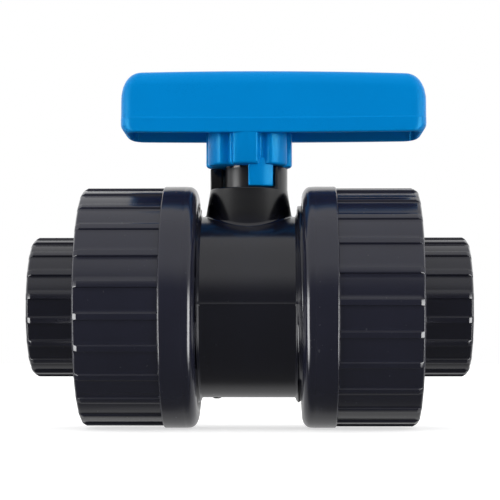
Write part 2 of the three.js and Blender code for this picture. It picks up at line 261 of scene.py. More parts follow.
# Hub and its stop tabs; the angles are in degrees
HUB_BOTTOM = 42.4
HUB = 13.2
HUB_INSET = 0.04
HUB_CORE = 10.4
HUB_LOBES = 7
HUB_LOBE_COLUMNS = 40
HUB_TWIST = -4.3
HUB_GROOVE = 11.3
HUB_GROOVE_START = 15
HUB_GROOVE_EASE = 8.5
HUB_SWELL = 2
STOP_INNER = 8
STOP_OUTER = 11.3
STOP_EDGE = 42
STOP_WIDTH = 42
STOP_BEVEL = 0.45

# Camera: millimetres and degrees
CAMERA_DISTANCE = 530
CAMERA_YAW = 1
CAMERA_DROP = 1.7
CAMERA_LENS = 126
CAMERA_AIM_X = -0.12
CAMERA_AIM_Z = 0.35

# Floor and studio light; the pairs are where an edge of light begins and ends, in degrees
FLOOR_SIZE = 6000
FLOOR_GAP = 0.1
TENT_EDGE = (14, 43)
LOW_GLOW_EDGE = (109, 127)
LOW_GLOW = 0.42
FRONT_LEVEL = 0.175
LAMP_INNER_EDGE = (46, 54)
LAMP_OUTER_EDGE = (78, 86)
LAMP_LOWER_EDGE = (-48, -28)
LAMP_UPPER_EDGE = (-1, 17)
LAMP_STRENGTH = 13.0

# ---- mesh helpers ----


def smoothstep(x):
    x = max(0, min(1, x))
    return x * x * (3 - 2 * x)


def evenly(count):
    return [TURN * i / count for i in range(count)]


def quarter_turn(count, first=0):
    """(sine, cosine) at even steps of a quarter turn."""
    return [(sin(k / count * pi / 2), cos(k / count * pi / 2)) for k in range(first, count + 1)]


def finished(name, mesh):
    """An object of the mesh, shaded smooth up to its sharp edges."""
    mesh.shade_smooth()
    mesh.set_sharp_from_angle(angle=radians(SMOOTH_ANGLE))
    obj = bpy.data.objects.new(name, mesh)
    bpy.context.scene.collection.objects.link(obj)
    return obj


def new_object(name, bm):
    """The bmesh, in millimetres, as a clean object in metres."""
    bmesh.ops.remove_doubles(bm, verts=bm.verts, dist=1e-4)
    bmesh.ops.dissolve_degenerate(bm, edges=bm.edges, dist=1e-5)
    bmesh.ops.recalc_face_normals(bm, faces=bm.faces)
    bmesh.ops.scale(bm, vec=(MM, MM, MM), verts=bm.verts)
    mesh = bpy.data.meshes.new(name)
    bm.to_mesh(mesh)
    bm.free()
    return finished(name, mesh)


def skinned(name, loops, capped=True):
    """A surface through closed loops of points that all have the same count."""
    bm = bmesh.new()
    rows = [[bm.verts.new(point) for point in loop] for loop in loops]
    count = len(rows[0])
    for here, there in zip(rows, rows[1:]):
        for i in range(count):
            j = (i + 1) % count
            bm.faces.new((here[i], here[j], there[j], there[i]))
    if capped:
        bm.faces.new(rows[0][::-1])
        bm.faces.new(rows[-1])
    return new_object(name, bm)


def spun(name, rows, angles, axis="x"):
    """A closed surface about an axis. A row gives (along, radius) at an angle.

    Angles run from +Y toward +Z about X, and from +X toward +Y about Z. The seam is left for
    the merging of doubles, so a row may be a helix that ends one pitch further on.
    """
    bm = bmesh.new()
    columns = list(angles) + [angles[0] + TURN]
    grid = []
    for row in rows + rows[:1]:
        line = []
        for angle in columns:
            along, radius = row(angle) if callable(row) else row
            y, z = radius * cos(angle), radius * sin(angle)
            line.append(bm.verts.new((along, y, z) if axis == "x" else (y, z, along)))
        grid.append(line)
    for here, there in zip(grid, grid[1:]):
        for i in range(len(columns) - 1):
            bm.faces.new((here[i], here[i + 1], there[i + 1], there[i]))
    return new_object(name, bm)


def block(name, size, centre):
    bm = bmesh.new()
    bmesh.ops.create_cube(bm, size=1)
    bmesh.ops.scale(bm, vec=size, verts=bm.verts)
    bmesh.ops.translate(bm, vec=centre, verts=bm.verts)
    return new_object(name, bm)


def sector(name, inner, outer, start, end, bottom, top):
    """A part of a ring about Z. Degrees are measured from the front, turning toward +X."""
    steps = 12
    loops = []
    for z in (bottom, top):
        outline = []
        for radius, order in ((outer, range(steps + 1)), (inner, range(steps, -1, -1))):
            for step in order:
                angle = radians(start + (end - start) * step / steps - 90)
                outline.append((radius * cos(angle), radius * sin(angle), z))
        loops.append(outline)
    return skinned(name, loops)


def rounded(corners):
    """A closed outline whose corners (along, radius, fillet) are rounded by arcs."""
    steps = 3
    outline = []
    for i, corner in enumerate(corners):
        here = Vector(corner[:2])
        fillet = corner[2] if len(corner) > 2 else 0
        if not fillet:
            outline.append(tuple(here))
            continue
        back = (Vector(corners[i - 1][:2]) - here).normalized()
        ahead = (Vector(corners[(i + 1) % len(corners)][:2]) - here).normalized()
        half = acos(max(-1, min(1, back.dot(ahead)))) / 2
        centre = here + (back + ahead).normalized() * fillet / sin(half)
        start = here + back * fillet / tan(half) - centre
        end = here + ahead * fillet / tan(half) - centre
        for step in range(steps + 1):
            arm = start.slerp(end, step / steps) * fillet
            outline.append(tuple(centre + arm))
    return outline


def combined(name, base, *tools):
    """base with each (operation, tool) of booleans applied in turn, which uses the tools up."""
    for operation, tool in tools:
        modifier = base.modifiers.new(operation, "BOOLEAN")
        modifier.operation = operation
        modifier.solver = "EXACT"
        modifier.object = tool
    depsgraph = bpy.context.evaluated_depsgraph_get()
    mesh = bpy.data.meshes.new_from_object(base.evaluated_get(depsgraph))
    for obj in [base] + [tool for operation, tool in tools]:
        bpy.data.objects.remove(obj)
    mesh.name = name
    return finished(name, mesh)


def bevelled(obj, width):
    """obj with its sharp edges rounded."""
    modifier = obj.modifiers.new("edges", "BEVEL")
    modifier.width = width * MM
    modifier.segments = 3
    modifier.limit_method = "ANGLE"
    modifier.angle_limit = radians(30)
    return obj


def filled(obj):
    """obj with its open rims closed by faces."""
    bm = bmesh.new()
    bm.from_mesh(obj.data)
    bmesh.ops.contextual_create(bm, geom=[edge for edge in bm.edges if edge.is_boundary])
    bm.to_mesh(obj.data)
    bm.free()
    return obj


# ---- the two ends ----


def placed_at_end(obj, side, travel=0, screw=0):
    """Moves a piece drawn for the tight right end to where that end's piece is."""
    turn = Matrix.Rotation(pi if side == "left" else 0, 4, "Z")
    slide = Matrix.Translation((travel * MM, 0, 0))
    obj.data.transform(turn @ slide @ Matrix.Rotation(radians(screw), 4, "X"))
    return obj


def travel_at_end(side):
    """How far the union at an end is backed off."""
    return BACKED_OFF if side == "right" else 0


def angle_at_end(side, angle):
    """Degrees up from the front, in the frame of an end that is turned about Z."""
    return 180 - angle if side == "left" else angle


# ---- threads and ribs ----


def thread_rows(start, end, side, clearance=0.0, countersink=None):
    """Helical rows between two stations, for the right end, or turned about Z for the left."""
    rows = []
    first = floor((start - PHASE) / PITCH) - 1
    last = floor((end - PHASE) / PITCH) + 2
    for turn in range(first, last + 1):
        for part, height in THREAD_SECTION:
            base = (turn + part) * PITCH + PHASE

            def row(angle, base=base, height=height):
                screw = angle if side == "right" else pi - angle
                x = base + PITCH * screw / TURN
                inside = start < x < end
                radius = ROOT + clearance + (CREST - ROOT) * (height if inside else 0)
                x = max(start, min(end, x))
                if countersink:
                    radius = max(radius, countersink(x))
                return (x if side == "right" else -x), radius

            rows.append(row)
    return rows if side == "right" else rows[::-1]


def degrees_at(length, radius):
    return length / radius * 180 / pi


def rib_columns(ribs, first_angle, half_width, radius):
    """Angles that follow the ribs' edges, and a function for how far up a rib each one is.

    first_angle is the degrees of one rib up from the front. half_width is in millimetres at
    the radius.
    """
    pitch = 360 / ribs
    # Each pair is how far past half_width a point of the rib's flank lies and its height.
    flank = ((0.21, 0), (0.098, 0.12), (0.028, 0.5), (-0.042, 0.84), (-0.14, 0.97), (-0.308, 1))
    half = [(degrees_at(half_width + past, radius), height) for past, height in flank]
    land = [(half[0][0] + (pitch / 2 - half[0][0]) * k / 3, 0) for k in (3, 2, 1)]
    across = land + half + [(0, 1)]
    across += [(-offset, height) for offset, height in reversed(across[1:-1])]
    columns = {}
    for n in range(ribs):
        for offset, height in across:
            up = first_angle + n * pitch + offset
            columns[round((180 - up) % 360, 6)] = height
    ordered = sorted(columns)
    angles = [radians(value) for value in ordered]
    heights_at = dict(zip(angles, (columns[value] for value in ordered)))

    def height_at(angle):
        return heights_at.get(angle, heights_at[angles[0]])

    return angles, height_at


def ribbed(rows, height_at):
    """Rows of (x, radius between ribs, radius on ribs) as row functions."""
    return [
        lambda angle, x=x, land=land, rib=rib: (x, land + (rib - land) * height_at(angle))
        for x, land, rib in rows
    ]


# ---- body ----


def barrel_angles():
    """Even columns, with a few close ones at the front and back for the mould's parting line."""
    near = PARTING_HALF_WIDTH
    far = PARTING_HALF_WIDTH + PARTING_EASE
    extra = [radians(line + offset) for line in (0, 180) for offset in (-far, -near, near, far)]
    return sorted({round(angle % TURN, 9) for angle in evenly(BARREL_COLUMNS) + extra})


def parting(angle):
    """Height of the raised parting line at an angle."""
    off = min(abs(angle % pi), pi - abs(angle % pi))
    fall = (off - radians(PARTING_HALF_WIDTH)) / radians(PARTING_EASE)
    return PARTING_HEIGHT * (1 - smoothstep(fall))


def barrel_row(x, radius):
    return lambda angle: (x, radius + parting(angle))


def body_outside():
    """The barrel between two shoulders, with a thread beyond each."""
    ease = [
        (0.0, BARREL), (0.12, BARREL + 0.03), (0.25, BARREL + 0.2), (0.42, BARREL + 0.65),
        (0.55, BARREL + 0.95), (SHOULDER_LENGTH, ROOT),
    ]
    left_ease = [barrel_row(-SHOULDER_START - along, radius) for along, radius in reversed(ease)]
    right_ease = [barrel_row(SHOULDER_START + along, radius) for along, radius in ease]
    middle = [barrel_row(-SHOULDER_START * (1 - k / 4), BARREL) for k in range(1, 8)]
    left_thread = thread_rows(THREAD_START, BODY_END, "left")
    right_thread = thread_rows(THREAD_START, BODY_END, "right")
    return left_thread + left_ease + middle + right_ease + right_thread


def body_inside():
    """From the carrier's mouth, through the cavity, to the left end of the bore."""
    pocket = CARRIER_RADIUS + FIT
    seat_pocket = SEAT_OUTER + FIT
    return [
        (BODY_END, pocket + BODY_CHAMFER),
        (BODY_END - BODY_CHAMFER, pocket),
        (CARRIER_POCKET_END, pocket),
        (CARRIER_POCKET_END, CAVITY),
        (-LEFT_POCKET_END, CAVITY),
        (-LEFT_POCKET_END, seat_pocket),
        (-SEAT_FLOOR, seat_pocket),
        (-SEAT_FLOOR, SEAT_GROOVE_OUTER),
        (-SEAT_GROOVE_END, SEAT_GROOVE_OUTER),
        (-SEAT_GROOVE_END, SEAT_GROOVE_INNER),
        (-SEAT_FLOOR, SEAT_GROOVE_INNER),
        (-SEAT_FLOOR, BORE),
        (-BODY_END + BORE_CHAMFER, BORE),
        (-BODY_END, BORE + BORE_CHAMFER),
    ]


def make_neck():
    """The neck, flaring down to a small fillet where it meets the round barrel."""
    straight = SLOT_FLOOR - 0.4
    foot_steps = 7
    columns = evenly(LARGE)
    loops = []

    def saddle(radius, angle):
        """Height of the barrel's surface at a point round the neck."""
        return sqrt(BARREL**2 - (radius * sin(angle)) ** 2)

    def neck_radius(z):
        return NECK + NECK_TAPER * (straight - z)

    def ring_at(radius_height):
        loop = []
        for angle in columns:
            radius, z = radius_height(angle)
            loop.append((radius * cos(angle), radius * sin(angle), z))
        loops.append(loop)

    ring_at(lambda angle: (NECK_BURIED_RADIUS, NECK_BURIED_Z))
    for k in range(foot_steps + 1):

        def foot(angle, t=k / foot_steps):
            near = NECK_FOOT
            for attempt in range(4):
                near = neck_radius(saddle(near, angle) + NECK_FILLET)
            far = near + NECK_FILLET
            low = saddle(far, angle) - 0.02
            corner = saddle(near, angle)
            radius = (1 - t) ** 2 * far + (1 - (1 - t) ** 2) * near
            z = (1 - t) ** 2 * low + 2 * t * (1 - t) * corner + t * t * (corner + NECK_FILLET)
            return radius, z

        ring_at(foot)
    top = [(neck_radius(z), z) for z in (29, 31, 33, straight - 0.4)]
    top += [
        (NECK + 0.01, straight), (NECK, straight + 0.1), (NECK - 0.1, straight + 0.27),
        (NECK - 0.3, SLOT_FLOOR),
    ]
    for radius, z in top:
        ring_at(lambda angle, radius=radius, z=z: (radius, z))
    return skinned("neck", loops)


def make_gate_mark():
    """The small stub that the mould's gate leaves under the barrel."""
    outline = [(-0.6, 0), (-0.6, 1.3), (0.1, 1.2), (0.28, 0.9), (0.34, 0.4), (0.34, 0)]
    mark = spun("gate", outline, evenly(SMALL), axis="z")
    under = Matrix.Translation((GATE_X * MM, 0, -BARREL * MM))
    mark.data.transform(under @ Matrix.Rotation(pi, 4, "X"))
    return mark


def make_body():
    shell = spun("shell", body_outside() + body_inside(), barrel_angles())
    posts = []
    for half_turn in (0, 180):
        start = STOP_EDGE + POST_GAP + half_turn
        end = start + POST_WIDTH
        post = sector("post", STOP_INNER, NECK, start, end, SLOT_FLOOR - 1, POST_TOP)
        posts.append(("UNION", bevelled(post, POST_BEVEL)))
    bore = spun("bore", [
        (0, 0),
        (0, SHAFT_BORE),
        (SLOT_FLOOR - BORE_CHAMFER, SHAFT_BORE),
        (SLOT_FLOOR, SHAFT_BORE + BORE_CHAMFER),
        (SLOT_FLOOR + 1, SHAFT_BORE + BORE_CHAMFER),
        (SLOT_FLOOR + 1, 0),
    ], evenly(MEDIUM), axis="z")
    recess = spun("recess", [
        (0, 0), (0, STEM_RECESS), (STEM_RECESS_TOP, STEM_RECESS), (STEM_RECESS_TOP, 0),
    ], evenly(64), axis="z")
    return combined(
        "valve_body_moulding", shell, ("UNION", make_neck()), ("UNION", make_gate_mark()), *posts,
        ("DIFFERENCE", bore), ("DIFFERENCE", recess),
    )


# ---- ball, seats, carrier and seals ----


def make_ball():
    mouth = sqrt(BALL**2 - (BORE + BALL_EDGE) ** 2)
    steps = 40
    outline = []
    limit = atan2(BORE + BALL_EDGE, mouth)
    for k in range(steps + 1):
        angle = limit + (pi - 2 * limit) * k / steps
        outline.append((BALL * cos(angle), BALL * sin(angle)))
    outline += [
        (-mouth + 0.1, BORE + 0.35), (-mouth + 0.6, BORE), (mouth - 0.6, BORE),
        (mouth - 0.1, BORE + 0.35),
    ]
    ball = spun("sphere", outline, evenly(MEDIUM))
    slot = block("slot", (BALL_SLOT_WIDTH, 40, 6), (0, 0, BALL_SLOT_FLOOR + 3))
    return combined("ball_turned", ball, ("DIFFERENCE", slot))


def make_seat(side):
    sphere = BALL + SEAT_GAP
    middle = (SEAT_INNER + SEAT_OUTER) / 2
    zone = (SEAT_INNER, (SEAT_INNER + middle) / 2, middle, (SEAT_OUTER + middle) / 2, SEAT_OUTER)
    outline = [(sqrt(sphere**2 - radius**2), radius) for radius in zone]
    outline += [(SEAT_BACK, SEAT_OUTER), (SEAT_BACK, SEAT_INNER)]
    seat = spun(f"ball_seat_{side}_ring", outline, evenly(MEDIUM))
    return placed_at_end(seat, side)


def make_carrier():
    pocket = SEAT_OUTER + FIT
    outline = rounded([
        (CARRIER_START, pocket),
        (CARRIER_START, CARRIER_NOSE, 0.4),
        (CARRIER_COLLAR_START, CARRIER_NOSE),
        (CARRIER_COLLAR_START, CARRIER_RADIUS, 0.25),
        (CARRIER_GROOVE_START, CARRIER_RADIUS, 0.1),
        (CARRIER_GROOVE_START, CARRIER_NOSE),
        (CARRIER_GROOVE_END, CARRIER_NOSE),
        (CARRIER_GROOVE_END, CARRIER_RADIUS, 0.2),
        (BODY_END, CARRIER_RADIUS, 0.4),
        (BODY_END, BORE, 0.6),
        (SEAT_FLOOR, BORE),
        (SEAT_FLOOR, SEAT_GROOVE_INNER),
        (SEAT_GROOVE_END, SEAT_GROOVE_INNER),
        (SEAT_GROOVE_END, SEAT_GROOVE_OUTER),
        (SEAT_FLOOR, SEAT_GROOVE_OUTER),
        (SEAT_FLOOR, pocket),
    ])
    ring = spun("ring", outline, evenly(LARGE))
    tools = []
    for side in (-1, 1):
        centre = (BODY_END, 0, side * (CARRIER_NOTCH_FLOOR + CARRIER_NOTCH[2] / 2))
        tools.append(("DIFFERENCE", block("notch", CARRIER_NOTCH, centre)))
    return combined("seat_carrier_turned", ring, *tools)


def make_o_ring(name, size, axis="x"):
    radius, cord, along = size
    section = [(along + cord * sin(t), radius + cord * cos(t)) for t in evenly(SEAL_SIDES)]
    return spun(name, section, evenly(SEAL_COLUMNS), axis=axis)


# ---- stem ----


def tooth(angle, clearance=0.0):
    """How far out the splines reach at an angle about Z, from 0 to 1."""
    pitch = TURN / SPLINE_TEETH
    off = (angle + pi / 2 - radians(SPLINE_TWIST) + pitch / 2) % pitch - pitch / 2
    half = radians(SPLINE_HALF_WIDTH + clearance * 8)
    return 1 - smoothstep((abs(off) - half) / radians(SPLINE_EASE))


def spline_row(z, clearance=0.0, inset=0.0):
    def row(angle):
        radius = SPLINE_ROOT + (SHAFT - SPLINE_ROOT) * tooth(angle, clearance)
        return z, radius + clearance - inset

    return row


def make_stem():
    rows = [
        (STEM_FLANGE_BOTTOM, 0),
        (STEM_FLANGE_BOTTOM, STEM_FLANGE - STEM_CHAMFER),
        (STEM_FLANGE_BOTTOM + STEM_CHAMFER, STEM_FLANGE),
        (STEM_FLANGE_TOP - STEM_CHAMFER, STEM_FLANGE),
        (STEM_FLANGE_TOP, STEM_FLANGE - STEM_CHAMFER),
        (STEM_FLANGE_TOP, SHAFT),
    ]
    for radius, cord, middle in STEM_SEALS.values():
        low, high = middle - STEM_GROOVE_HALF_WIDTH, middle + STEM_GROOVE_HALF_WIDTH
        rows += [
            (low - 0.15, SHAFT), (low, SHAFT - 0.15), (low, STEM_GROOVE),
            (high, STEM_GROOVE), (high, SHAFT - 0.15), (high + 0.15, SHAFT),
        ]
    rows += [
        (SPLINE_BOTTOM - 0.3, SHAFT), (SPLINE_BOTTOM, SHAFT - 0.05),
        spline_row(SPLINE_BOTTOM + 0.1), spline_row(SPLINE_TOP - 0.7),
        spline_row(SPLINE_TOP - 0.2, inset=0.35), spline_row(SPLINE_TOP, inset=0.9),
        (SPLINE_TOP, 0),
    ]
    shaft = spun("shaft", rows, evenly(SPLINED), axis="z")
    size = (TANG_THICKNESS, TANG_WIDTH, TANG_TOP - STEM_LOW.z)
    tang = block("tang", size, (0, 0, (TANG_TOP + STEM_LOW.z) / 2))
    return combined("stem_turned", shaft, ("UNION", bevelled(tang, 0.4)))


# ---- handle ----


def handle_loop(z, inset_x, inset_y, corner=CORNER):
    """A rectangle with rounded corners at a height, pulled in at its ends and its sides."""
    low_x, high_x = HANDLE_LOW.x + inset_x, HANDLE_HIGH.x - inset_x
    half_y = HANDLE_HIGH.y - inset_y
    corner_y = min(max(corner - CORNER_SHRINK * inset_y, 0), half_y)
    corner_x = max(corner - CORNER_SHRINK * inset_x, CORNER_LEAST)
    right, left = high_x - corner_x, low_x + corner_x
    loop = []
    for quarter, (cx, sign_y) in enumerate([(right, 1), (left, 1), (left, -1), (right, -1)]):
        cy = sign_y * (half_y - corner_y)
        for step in range(CORNER_STEPS + 1):
            angle = (quarter + step / CORNER_STEPS) * pi / 2
            loop.append([cx + corner_x * cos(angle), cy + corner_y * sin(angle)])
        # The long sides get extra points, so that the crown along the top stays smooth.
        if quarter in (0, 2):
            ahead = left if quarter == 0 else right
            for k in range(1, SIDE_STEPS):
                loop.append([cx + (ahead - cx) * k / SIDE_STEPS, cy + sign_y * corner_y])
    share = smoothstep((z - BREAK) / CROWN_HEIGHT)
    return [(x, y, z + ((1 - share) * BOW - share * CROWN) * x * x) for x, y in loop]


def rim_inset(up, fillet):
    """How far the rim's rounding draws the wall in, at a height above the rim."""
    rest = max(0, fillet - up)
    return fillet - sqrt(fillet * fillet - rest * rest)


def end_inset(z):
    """How far the rounding of the handle's top draws its ends in, at a height."""
    rise = max(0, z - (TOP - END_ROUND_HEIGHT)) / END_ROUND_HEIGHT
    return END_INSET + END_ROUND * (1 - sqrt(max(0, 1 - rise * rise)))


def handle_outside():
    """From the rim's inner edge round the lower edge, over the break line and up to the top."""
    loops = []
    for up in (0, 0.06, 0.2, 0.4, 0.65, 0.95, 1.3, 1.7, 2.2, 2.7, 3.6):
        ends, sides = rim_inset(up, RIM_END_FILLET), rim_inset(up, RIM_SIDE_FILLET)
        loops.append(handle_loop(RIM + up, ends, sides))
    for up, inset in ((-0.3, 0), (-0.1, 0), (0.1, 0.12), (0.3, BREAK_STEP)):
        loops.append(handle_loop(BREAK + up, 0.3 * inset, inset))
    top_start = TOP - END_ROUND
    wall_steps = 5
    for k in range(1, wall_steps + 1):
        z = BREAK + (top_start - BREAK) * k / wall_steps
        loops.append(handle_loop(z, end_inset(z), BREAK_STEP + DRAFT * (z - BREAK)))
    side = BREAK_STEP + DRAFT * (top_start - BREAK)
    for sine, cosine in quarter_turn(12, first=1):
        z = top_start + END_ROUND * sine
        loops.append(handle_loop(z, end_inset(z), side + SIDE_ROUND * (1 - cosine)))
    last_x, last_y = END_INSET + END_ROUND, side + SIDE_ROUND
    for share in (0.3, 0.6, 1.0):
        inset_y = last_y + (HANDLE_HIGH.y - last_y) * share
        loops.append(handle_loop(TOP, last_x + (inset_y - last_y), inset_y))
    return loops


def handle_inside():
    """The hollow, from below the rim up to its rounded ceiling."""
    edge = WALL + 0.9
    start = CEILING - CEILING_ROUND
    loops = [
        handle_loop(RIM - 1, WALL - 0.5, WALL - 0.5, INNER_CORNER),
        handle_loop(RIM + 0.7, WALL, WALL, INNER_CORNER),
        handle_loop(start, edge, edge, INNER_CORNER),
    ]
    for sine, cosine in quarter_turn(4, first=1):
        z = CEILING - CEILING_ROUND * (1 - sine)
        ends, sides = edge + CEILING_ROUND * (1 - cosine), edge + 1.6 * (1 - cosine)
        loops.append(handle_loop(z, ends, sides, INNER_CORNER))
    for inset in (8, HANDLE_HIGH.y):
        loops.append(handle_loop(CEILING, inset + 0.6, inset, INNER_CORNER))
    return loops


def hub_row(z, inset=0.0):
    """A row of the fluted hub: rounded lobes with a narrow groove between each two."""
    def row(angle):
        lobe = TURN / HUB_LOBES
        off = abs((angle + pi / 2 - radians(HUB_TWIST) + lobe / 2) % lobe - lobe / 2)
        groove = smoothstep((off - radians(HUB_GROOVE_START)) / radians(HUB_GROOVE_EASE))
        swell = HUB_SWELL * (off / lobe) ** 2
        return z, HUB - HUB_INSET - inset - swell - (HUB - HUB_GROOVE) * groove

    return row


def make_hub():
    ease = [(0, 0.75), (0.1, 0.42), (0.32, 0.16), (0.7, 0.0)]
    rows = [(HUB_BOTTOM, 0)]
    rows += [hub_row(HUB_BOTTOM + up, inset) for up, inset in ease]
    # Above the rim the hub stays within the handle's side walls.
    rows += [
        hub_row(RIM + 0.8), hub_row(RIM + 1.6, 0.8), hub_row(RIM + 4, 0.8),
        (RIM + 4.1, HUB_CORE), (TOP - 2, HUB_CORE), (TOP - 2, 0),
    ]
    return spun("hub", rows, evenly(HUB_LOBES * HUB_LOBE_COLUMNS), axis="z")


def make_handle():
    outside = filled(skinned("outside", handle_outside(), capped=False))
    inside = filled(skinned("inside", handle_inside(), capped=False))
    hub = make_hub()
    middle = (HANDLE_LOW.x + HANDLE_HIGH.x) / 2
    web = block("web", (WEB_LENGTH, WEB_THICKNESS, WEB_HEIGHT), (middle, 0, TOP - WEB_DROP))
    tools = [("DIFFERENCE", inside), ("UNION", web), ("UNION", hub)]
    for half_turn in (0, 180):
        end = STOP_EDGE + half_turn
        tab = sector(
            "tab", STOP_INNER, STOP_OUTER, end - STOP_WIDTH, end, HANDLE_LOW.z, HUB_BOTTOM + 2,
        )
        tools.append(("UNION", bevelled(tab, STOP_BEVEL)))
    socket_end = SPLINE_TOP + 0.6
    socket = spun("socket", [
        (HUB_BOTTOM - 6, 0), spline_row(HUB_BOTTOM - 6, SPLINE_FIT),
        spline_row(socket_end, SPLINE_FIT), (socket_end, 0),
    ], evenly(SPLINED), axis="z")
    tools.append(("DIFFERENCE", socket))
    return combined("handle_moulding", outside, *tools)


# ---- union nuts and end connectors ----


def plain(rows):
    """Rows of (x, radius) as rows without ribs."""
    return [(x, radius, radius) for x, radius in rows]


def nut_collar_rows():
    """The collar, from the nut's mouth over its rounded face and scribed line to its edge."""
    rows = [(NUT_MOUTH, NUT_MOUTH_RADIUS), (NUT_FACE, NUT_RADIUS - NUT_FACE_DROP - 0.3)]
    for sine, cosine in quarter_turn(8):
        radius = NUT_RADIUS - 0.08 - NUT_FACE_DROP * (1 - sine)
        rows.append((NUT_FACE + NUT_FACE_ROUND * (1 - cosine), radius))
    rows += [
        (NUT_LINE - 0.12, NUT_RADIUS), (NUT_LINE - 0.04, NUT_RADIUS - 0.05),
        (NUT_LINE + 0.04, NUT_RADIUS - 0.05), (NUT_LINE + 0.12, NUT_RADIUS),
    ]
    for k in range(6):
        t = k / 6 * pi / 2
        x = NUT_COLLAR_END - NUT_COLLAR_EDGE * (1 - sin(t))
        rows.append((x, NUT_RADIUS - NUT_COLLAR_EDGE * (1 - cos(t))))
    return plain(rows)


def nut_rib_rows():
    """The ribbed part, with facets where each rib runs out at the nut's end."""
    return [
        (NUT_COLLAR_END + 0.02, NUT_LAND + 0.2, NUT_RIB - 0.02),
        (NUT_COLLAR_END + 0.12, NUT_LAND + 0.04, NUT_RIB - 0.01),
        (NUT_COLLAR_END + 0.35, NUT_LAND, NUT_RIB),
        (NUT_END - 1.6, NUT_LAND, NUT_RIB),
        (NUT_END - 1.45, NUT_LAND, NUT_RIB - 0.05),
        (NUT_END - 0.62, NUT_LAND, NUT_RIB - 0.55),
        (NUT_END - 0.5, NUT_LAND - 0.05, NUT_RIB - 0.63),
        (NUT_END - 0.38, NUT_LAND - 0.2, NUT_RIB - 0.72),
        (NUT_END - 0.15, NUT_LAND - 0.62, NUT_RIB - 1.05),
        (NUT_END, NUT_LAND - 1.0, NUT_RIB - 1.4),
        (NUT_END, NUT_LAND - 1.9, NUT_LAND - 1.9),
    ]


def nut_inside_rows():
    """The lip and the room for the connector's flange, then the thread back to the mouth."""
    lip_face = NUT_END - NUT_LIP
    room = ROOT + THREAD_CLEARANCE
    bore = [
        (NUT_END, NUT_LIP_RADIUS + 0.6), (NUT_END - 0.18, NUT_LIP_RADIUS + 0.18),
        (NUT_END - 0.6, NUT_LIP_RADIUS), (lip_face + 0.3, NUT_LIP_RADIUS),
        (lip_face, NUT_LIP_RADIUS + 0.3), (lip_face, room), (FACE, room),
    ]

    def countersink(x):
        return NUT_MOUTH_RADIUS - (x - NUT_MOUTH) * NUT_COUNTERSINK_SLOPE

    threads = thread_rows(NUT_MOUTH, FACE, "right", THREAD_CLEARANCE, countersink)
    return bore + threads[::-1]


def make_nut(side):
    travel = travel_at_end(side)
    screw = 360 * travel / PITCH
    first = angle_at_end(side, RIB_ANGLE[side]) + screw
    angles, height_at = rib_columns(NUT_RIBS, first, NUT_RIB_HALF_WIDTH, NUT_RIB)
    outside = ribbed(nut_collar_rows() + nut_rib_rows(), height_at)
    nut = spun(f"union_nut_{side}_moulding", outside + nut_inside_rows(), angles)
    return placed_at_end(nut, side, travel, screw)


def connector_outside_rows():
    """The flange, then the ribbed socket wall with facets where each rib runs out."""
    back = FACE + FLANGE_THICKNESS
    flange = [
        (FACE, FLANGE - 0.6), (FACE + 0.15, FLANGE - 0.15), (FACE + 0.6, FLANGE),
        (back - 0.4, FLANGE), (back, FLANGE - 0.4), (back, END_RADIUS + 1.4),
    ]
    return plain(flange) + [
        (back + 0.3, END_LAND + 0.6, END_RADIUS + 0.5),
        (back + 1.0, END_LAND, END_RADIUS),
        (END - 1.6, END_LAND, END_RADIUS),
        (END - 1.4, END_LAND, END_RADIUS - 0.08),
        (END - 0.7, END_LAND, END_RADIUS - 0.5),
        (END - 0.58, END_LAND - 0.05, END_RADIUS - 0.6),
        (END - 0.45, END_LAND - 0.22, END_RADIUS - 0.75),
        (END - 0.15, END_LAND - 0.75, END_RADIUS - 1.2),
        (END, END_LAND - 1.1, END_RADIUS - 1.5),
        (END, END_LAND - 2.2, END_LAND - 2.2),
    ]


def connector_inside_rows():
    """The pipe socket, the bore and the face's seal groove."""
    stop = END - SOCKET_DEPTH
    groove = FACE + FACE_GROOVE_DEPTH
    return [
        (END, SOCKET + 0.9), (END - 0.2, SOCKET + 0.45), (END - 0.9, SOCKET),
        (stop + 0.3, SOCKET), (stop, SOCKET - 0.3), (stop, BORE + 0.3), (stop - 0.3, BORE),
        (FACE + 0.4, BORE), (FACE, BORE + 0.4), (FACE, FACE_GROOVE_INNER),
        (groove, FACE_GROOVE_INNER), (groove, FACE_GROOVE_OUTER), (FACE, FACE_GROOVE_OUTER),
    ]


def make_connector(side):
    first = angle_at_end(side, END_RIB_ANGLE)
    angles, height_at = rib_columns(END_RIBS, first, END_RIB_HALF_WIDTH, END_RADIUS)
    rows = ribbed(connector_outside_rows(), height_at) + connector_inside_rows()
    connector = spun(f"end_connector_{side}_moulding", rows, angles)
    return placed_at_end(connector, side, travel_at_end(side))


# ---- materials; noise scales are per metre and bump depths in millimetres ----


def rgb(red, green, blue):
    return (red, green, blue, 1.0)


def grey(level):
    return rgb(level, level, level)


PVC_SPECK = rgb(0.03, 0.032, 0.04)
PVC_RUBBED = rgb(0.042, 0.044, 0.054)
PVC_PAINTED_SHADE = rgb(0.0004, 0.0005, 0.001)
BLUE_DARK = rgb(0.0, 0.25, 0.69)
BLUE_LIGHT = rgb(0.0, 0.28, 0.765)
BLUE_RUBBED = rgb(0.02, 0.42, 0.9)
BLUE_SHEEN = rgb(0.1, 0.8, 1)
PTFE_DARK = rgb(0.78, 0.78, 0.75)
PTFE_LIGHT = rgb(0.88, 0.88, 0.86)
RUBBER_DARK = rgb(0.006, 0.006, 0.007)
RUBBER_LIGHT = rgb(0.012, 0.012, 0.013)
RUBBER_DUST = rgb(0.05, 0.05, 0.048)
PLASTIC_IOR = 1.5


